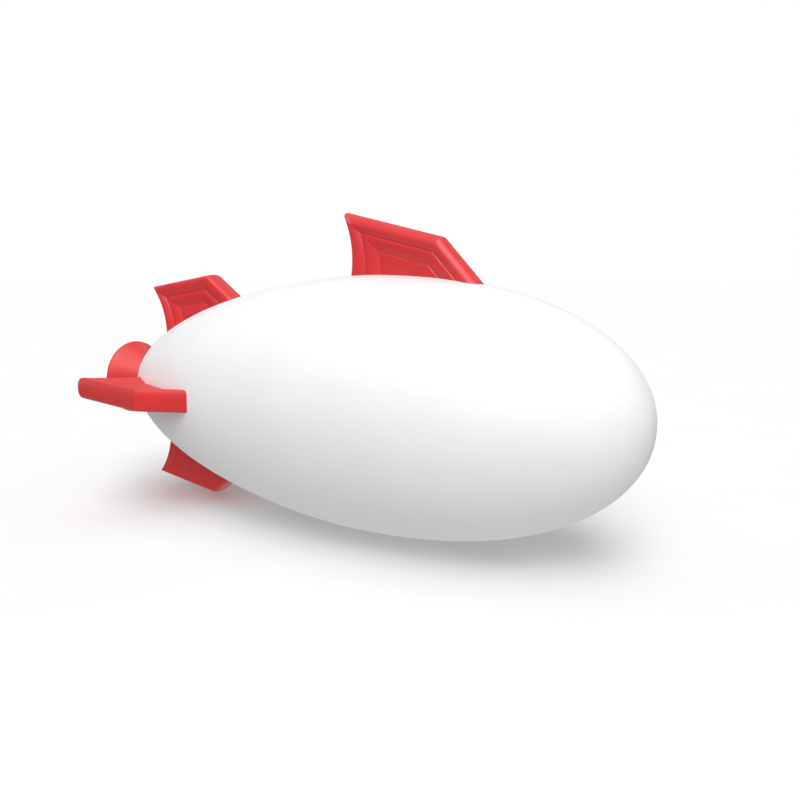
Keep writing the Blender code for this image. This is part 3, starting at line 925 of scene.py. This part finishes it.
def build_end_panel(back):
    """The panel in the nozzle's dish, crowned, with a round weld near its edge."""
    face, soft = back - PANEL_THICKNESS, PANEL_ROUND
    profile = [(back, 0.0), (back, PANEL_RADIUS - 0.001)]
    profile += arc((face + soft, PANEL_RADIUS - soft), soft, 90, 180, 6)
    weld_radius, weld_half, weld_height = PANEL_WELD
    for radius in evenly(PANEL_RADIUS - soft, 0.0, 19)[1:]:
        weld = weld_height * bulge(radius, weld_radius, weld_half)
        crown = PANEL_PUFF * (1 - (radius / PANEL_RADIUS) ** 2)
        profile.append((face - crown - weld, radius))
    mesh = finish_mesh(turned(profile, NOZZLE_STEPS))
    end = piece("nozzle_end_panel_skin", mesh, RED, ["nozzle_end_panel"])


# Belly fittings

def belly_seat(x):
    """The place on the belly's centre line whose -Z axis is the envelope's outward normal."""
    turn = Matrix.Rotation(atan(hull_slope(x)), 4, "Y")
    return Matrix.Translation((x, 0.0, -hull_radius(x))) @ turn


def tether_patch(place, seat):
    """A welded disc with two pressed rings, open in the middle for the keeper's base."""
    face, inside, eye = -PATCH_PROUD, 0.001, KEEPER_BASE + PATCH_EYE_ROUND
    half, depth = PATCH_PRESS
    profile = [(inside, KEEPER_BASE + GAP), (face + 0.001, KEEPER_BASE + GAP), (face, eye)]
    for radius in evenly(eye, PATCH_RADIUS - 0.0032, 40)[1:-1]:
        press = sum(depth * bulge(radius, ring, half) for ring in PATCH_RINGS)
        profile.append((face + press, radius))
    profile += arc((face + PATCH_ROUND, PATCH_RADIUS - PATCH_ROUND), PATCH_ROUND, 180, 90, 6)
    profile += [(SEAT_DEPTH, PATCH_RADIUS), (SEAT_DEPTH, KEEPER_BASE + GAP + 0.004),
                (inside, KEEPER_BASE + GAP)]
    mesh = finish_mesh(turned(profile, FITTING_STEPS, "Z"))
    piece(f"tether_patch_{place}_disc", mesh, PATCH_WHITE, [f"tether_patch_{place}"], seat)


def strap_path():
    """(x, z) points of the webbing's middle line: flat on its base, round the bar and back."""
    turn = RING_WIRE + 0.0006 + KEEPER_STRAP / 2
    base = -PATCH_PROUD - KEEPER_STRAP / 2
    left = [(-KEEPER_BASE + 0.003, base), (-0.012, base), (-0.0085, base - 0.0003)]
    left += [(-0.006, base - 0.0016), (-0.0046, base - 0.0036)]
    round_bar = arc((0.0, -BAR_DROP), turn, 175, 365, 16)
    return left + round_bar + [(-x, z) for x, z in reversed(left)]


def add_ribbon(bm, path, width, thickness):
    """A flat band along an (x, z) path, its width along Y and its edges softened."""
    rows, places = [], []
    for k, ((x, z), run) in enumerate(zip(path, lengths_along(path))):
        before, after = path[max(k - 1, 0)], path[min(k + 1, len(path) - 1)]
        way = Vector((after[0] - before[0], after[1] - before[1])).normalized()
        off = Vector((-way.y, way.x)) * thickness / 2
        half, soft = width / 2, thickness * 0.4
        section = [(half, 0.35), (half - soft, 1.0), (half / 3, 1.0), (-half / 3, 1.0),
                   (-half + soft, 1.0), (-half, 0.35)]
        ring = [Vector((x + off.x * s, y, z + off.y * s)) for y, s in section]
        ring += [Vector((x - off.x * s, y, z - off.y * s)) for y, s in reversed(section)]
        rows.append(ring)
        places.append([(run, y) for y, _ in section + section[::-1]])
    add_grid(bm, rows, places, wrap=True, ends=True)


def tether_keeper(place, seat):
    """A round base with a webbing loop over the ring's bar."""
    face, soft = -PATCH_PROUD, KEEPER_ROUND
    profile = [(SEAT_DEPTH, 0.0), (SEAT_DEPTH, KEEPER_BASE)]
    profile += arc((face + soft, KEEPER_BASE - soft), soft, 90, 180, 4) + [(face, 0.0)]
    bm = turned(profile, 64, "Z")
    add_ribbon(bm, strap_path(), KEEPER_WIDTH, KEEPER_STRAP)
    piece(f"tether_keeper_{place}_webbing", finish_mesh(bm), WEBBING,
          [f"tether_keeper_{place}"], seat)


def tether_stitches(place, seat):
    """The stitches that hold the webbing on its base, on both sides of the ring."""
    bm = bmesh.new()
    depth, outer_y = -PATCH_PROUD - KEEPER_STRAP, KEEPER_WIDTH * 0.4

    def stitch(x, y, along_x, along_y):
        start, end = (x - along_x, y - along_y, depth), (x + along_x, y + along_y, depth)
        add_rod(bm, STITCH_RADIUS, start, end, 8)

    for side in (-1, 1):
        for y in evenly(-outer_y, outer_y, STITCH_ROWS - 1):
            for x in (0.0165, 0.011):
                stitch(side * x, y, 0.0, 0.0011)
        for y in (-outer_y, outer_y):
            for x in (0.0124, 0.0151):
                stitch(side * x, y, side * 0.0009, 0.0)
    piece(f"tether_stitches_{place}", finish_mesh(bm), THREAD, matrix=seat)


def ring_path():
    """(y, z) points of a D-ring's middle line, its straight bar at the top."""
    flat = RING_HALF - RING_CORNER
    corner = arc((flat, -RING_CORNER), RING_CORNER, 90, 0, 8)
    bow = arc((0.0, -RING_SIDE), RING_HALF, 0, -180, 32)
    bar = [(y, 0.0) for y in evenly(-flat, flat, 8)[1:-1]]
    return corner + bow + [(-y, z) for y, z in reversed(corner)] + bar


def tether_ring(place, seat):
    """A bent steel ring that hangs straight down in its keeper."""
    path = [Vector(point) for point in ring_path()]
    count = len(path)
    rows = []
    for k in range(count + 1):
        way = (path[(k + 1) % count] - path[(k - 1) % count]).normalized()
        side = Vector((-way.y, way.x)) * RING_WIRE
        rows.append([Vector((RING_WIRE * sin(turn), *(path[k % count] + side * cos(turn))))
                     for turn in evenly(0, 2 * pi, 16)[:-1]])
    bm = bmesh.new()
    add_grid(bm, rows, [[(p.y, p.z) for p in row] for row in rows], wrap=True)
    bar = seat @ Vector((0.0, 0.0, -BAR_DROP))
    piece(f"tether_ring_{place}_wire", finish_mesh(bm), STEEL, [f"tether_ring_{place}"],
          Matrix.Translation(bar), body=f"ring_{place}")


def build_tethers():
    for place in TETHERS:
        seat = belly_seat(middle_of(f"tether_patch_{place}"))
        tether_patch(place, seat)
        tether_keeper(place, seat)
        tether_stitches(place, seat)
        tether_ring(place, seat)


def build_valve():
    """The inflation valve: a flanged neck with a one-way flap, under a hinged cap."""
    seat = belly_seat(VALVE_X)
    valve_base(seat)
    valve_flap(seat)
    valve_cap(seat)


def valve_base(seat):
    """A flange with a pressed ring, a threaded neck with its port, and the hinge's fixed half."""
    press_radius, press_half, press_depth = FLANGE_PRESS
    flat, foot = FLANGE_RADIUS - FLANGE_ROUND, TUBE_RADIUS + 0.0025
    profile = [(SEAT_DEPTH, 0.0), (SEAT_DEPTH, FLANGE_RADIUS)]
    profile += arc((FACE_Z + FLANGE_ROUND, flat), FLANGE_ROUND, 90, 180, 5)
    for radius in evenly(flat, foot, 24)[1:-1]:
        profile.append((FACE_Z + press_depth * bulge(radius, press_radius, press_half), radius))
    profile += arc((FACE_Z - 0.0015, TUBE_RADIUS + 0.0015), 0.0015, 0, -90, 4)
    for k, z in enumerate(evenly(FACE_Z - 0.004, NECK_END_Z + 0.002, 11)):
        profile.append((z, TUBE_RADIUS + THREAD_DEPTH * (cos(pi / 2 * k) - 1)))
    rim_z = NECK_END_Z + SOFT
    profile += arc((rim_z, TUBE_RADIUS - SOFT), SOFT, 90, 180, 4)
    profile += arc((rim_z, PORT_RADIUS + SOFT), SOFT, 180, 270, 4)
    profile += [(PORT_FLOOR_Z - SOFT, PORT_RADIUS), (PORT_FLOOR_Z, PORT_RADIUS - SOFT),
                (PORT_FLOOR_Z, 0.0)]
    bm = turned(profile, FITTING_STEPS, "Z")
    for side in (-1, 1):
        near = side * (HINGE_WIDTH / 2 + EAR_PLAY)
        far = near + side * EAR_WIDTH
        add_box(bm, (-HINGE_OUT - HINGE_RADIUS, min(near, far), HINGE_Z - HINGE_RADIUS),
                (-HINGE_OUT + HINGE_RADIUS, max(near, far), FACE_Z + SOFT), 0.0012)
    pin_half = HINGE_WIDTH / 2 + EAR_WIDTH + EAR_PLAY
    add_rod(bm, HINGE_PIN, (-HINGE_OUT, -pin_half, HINGE_Z), (-HINGE_OUT, pin_half, HINGE_Z))
    piece("valve_base_body", finish_mesh(bm), VALVE_WHITE, ["valve_base"], seat)


def valve_flap(seat):
    """The one-way flap in the port, with its middle stem and three spokes over it."""
    lift = PORT_FLOOR_Z - FLAP_LIFT
    back = PORT_FLOOR_Z - 0.0002
    bm = turned([(back, 0.0), (back, 0.015), (lift + 0.0014, 0.0156), (lift + 0.0006, 0.015),
                 (lift + 0.0002, 0.009), (lift - 0.0002, 0.0034), (lift - 0.002, 0.003),
                 (lift - 0.0026, 0.0022), (lift - 0.0028, 0.0)], 48, "Z")
    height = Vector((0.0, 0.0, lift - 0.0015))
    for k in range(3):
        angle = 2 * pi * k / 3 + pi / 2
        way = Vector((cos(angle), sin(angle), 0.0))
        add_rod(bm, 0.0009, way * 0.003 + height, way * (PORT_RADIUS - 0.0008) + height, 12)
    piece("valve_flap", finish_mesh(bm), FLAP_GREY, matrix=seat)


def valve_cap(seat):
    """The cap: a ribbed skirt, a dished top, a finger tab and the hinge's moving half."""
    inner = TUBE_RADIUS + CAP_PLAY
    radius = inner + CAP_WALL
    under = NECK_END_Z - GAP
    top, skirt = under - CAP_TOP, FACE_Z - 0.003
    profile = [(top + 0.0008, 0.0), (top + 0.0008, radius * 0.62), (top + 0.0001, radius * 0.68),
               (top, radius * 0.74)]
    profile += arc((top + CAP_ROUND, radius - CAP_ROUND), CAP_ROUND, 180, 90, 6)
    ribbed = range(len(profile), len(profile) + 2)
    profile += [(top + 0.0035, radius), (skirt - 0.0022, radius)]
    profile += [(skirt - 0.0014, radius), (skirt, radius - 0.0006), (skirt, inner + 0.0006),
                (skirt - 0.0006, inner), (under + 0.0008, inner), (under, inner - 0.0008),
                (under, 0.0)]

    def ripple(index, angle):
        return -CAP_RIB_DEPTH * (0.5 - 0.5 * cos(CAP_RIBS * angle)) ** 2 if index in ribbed else 0.0

    bm = turned(profile, 8 * CAP_RIBS, "Z", ripple)
    add_box(bm, (-HINGE_OUT, -HINGE_WIDTH / 2, HINGE_Z - 0.002),
            (-inner - CAP_WALL / 2, HINGE_WIDTH / 2, HINGE_Z + 0.002), 0.0006)
    add_knuckle(bm)
    add_box(bm, (radius - 0.001, -0.007, top + 0.001), (radius + 0.0055, 0.007, top + 0.004),
            0.001)
    piece("valve_cap_body", finish_mesh(bm), CAP_WHITE, ["valve_cap"], seat, body="cap")


def add_knuckle(bm):
    """The cap's hinge knuckle, bored for the pin."""
    half, bore, soft = HINGE_WIDTH / 2, HINGE_PIN + GAP, 0.0005
    profile = [(-half, bore), (-half, HINGE_RADIUS - soft), (-half + soft, HINGE_RADIUS),
               (half - soft, HINGE_RADIUS), (half, HINGE_RADIUS - soft), (half, bore)]
    rows = []
    for turn in evenly(0, 2 * pi, 32):
        rows.append([Vector((-HINGE_OUT + r * cos(turn), y, HINGE_Z + r * sin(turn)))
                     for y, r in profile + profile[:1]])
    add_grid(bm, rows, [[(p.x, p.z) for p in row] for row in rows])


# Stage

def floor_material():
    mat, tree, shader = new_material("pale_floor")
    cloud = clouds(tree, object_place(tree), 0.8, 4.0)
    feed(tree, shader, {
        "Base Color": tone(tree, cloud, (0.77, 0.77, 0.77), (0.79, 0.79, 0.79)),
        "Roughness": 0.9,
        "Specular IOR Level": 0.1,
    })
    return mat


def backdrop_material():
    """A white backdrop, lit evenly, that lights nothing itself."""
    mat, tree, shader = new_material("white_backdrop")
    feed(tree, shader, {
        "Base Color": (0.0, 0.0, 0.0, 1.0),
        "Specular IOR Level": 0.0,
        "Emission Color": (1.0, 1.0, 1.0, 1.0),
        "Emission Strength": 1.0,
    })
    mat.cycles.emission_sampling = "NONE"
    return mat


def stage_piece(name, bm, mat):
    """Something that stands round the balloon and only shows to the camera."""
    obj = placed(name, mesh_from(bm))
    obj.location.z = FLOOR_Z
    obj.visible_diffuse = obj.visible_glossy = obj.visible_shadow = False
    obj.data.materials.append(mat)


def build_stage():
    bm = bmesh.new()
    bmesh.ops.create_grid(bm, x_segments=1, y_segments=1, size=FLOOR_HALF)
    stage_piece("floor", bm, floor_material())
    bm = bmesh.new()
    bmesh.ops.create_cone(bm, cap_ends=True, segments=64, radius1=BACKDROP_RADIUS,
                          radius2=BACKDROP_RADIUS, depth=BACKDROP_HEIGHT)
    bmesh.ops.translate(bm, verts=bm.verts, vec=(0, 0, BACKDROP_HEIGHT / 2 - BACKDROP_SUNK))
    stage_piece("backdrop", bm, backdrop_material())


def build_light():
    """A studio that is brighter at some heights than at others, and three broad lamps."""
    world = bpy.data.worlds.new("studio")
    bpy.context.scene.world = world
    world.use_nodes = True
    tree = world.node_tree
    way = node(tree, "TexCoord").outputs["Generated"]
    up = node(tree, "SeparateXYZ", {"Vector": way}).outputs["Z"]
    sky = node(tree, "ValToRGB", {"Fac": spread(tree, up, 0.0, 1.0, (-1.0, 1.0))})
    elements = sky.color_ramp.elements
    for height, _ in SURROUNDINGS[1:-1]:
        elements.new((height + 1) / 2)
    for element, (_, level) in zip(elements, SURROUNDINGS):
        element.color = (level, level, level, 1.0)
    feed(tree, tree.nodes["Background"], {"Color": sky.outputs["Color"], "Strength": 1.0})

    for name, come_from, strength, angle in LAMPS:
        lamp = bpy.data.lights.new(name, "SUN")
        lamp.energy = strength
        lamp.angle = radians(angle)
        placed(name, lamp).rotation_euler = Vector(come_from).to_track_quat("Z", "Y").to_euler()


def build_camera():
    data = bpy.data.cameras.new("camera")
    data.lens = CAMERA_LENS
    data.sensor_width = 36.0
    data.clip_end = 2 * FLOOR_HALF
    camera = placed("camera", data)
    camera.location = CAMERA_PLACE
    camera.rotation_euler = CAMERA_TURN
    bpy.context.scene.camera = camera


build_camera()
build_stage()
build_light()
build_envelope()
build_fins()
build_nozzle()
build_tethers()
build_valve()
bpy.context.scene.view_settings.view_transform = "Standard"
